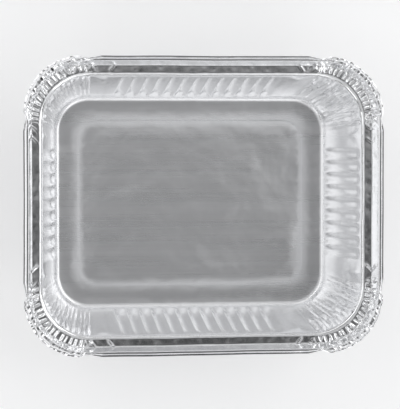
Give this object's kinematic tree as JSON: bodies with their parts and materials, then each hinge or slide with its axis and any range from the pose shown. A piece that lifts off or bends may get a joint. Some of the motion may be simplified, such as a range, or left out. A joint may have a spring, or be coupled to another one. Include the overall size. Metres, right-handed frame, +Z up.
{
  "type": "foil food container",
  "caption": "Oblong pressed foil tray with fluted walls, gathered round corners, a flat ledge for a lid and an upright rim with a folded edge.",
  "frame": {"origin": "middle of the base, on the surface that the container stands on", "axes": "+Z up out of the opening, +X along the long side, +Y along the short side"},
  "size_m": [0.1428, 0.1174, 0.0421],
  "materials": {
    "foil": "bright rolled foil, wrinkled at the corners"
  },
  "bodies": {
    "root": {"tray": "foil"}
  },
  "joints": []
}
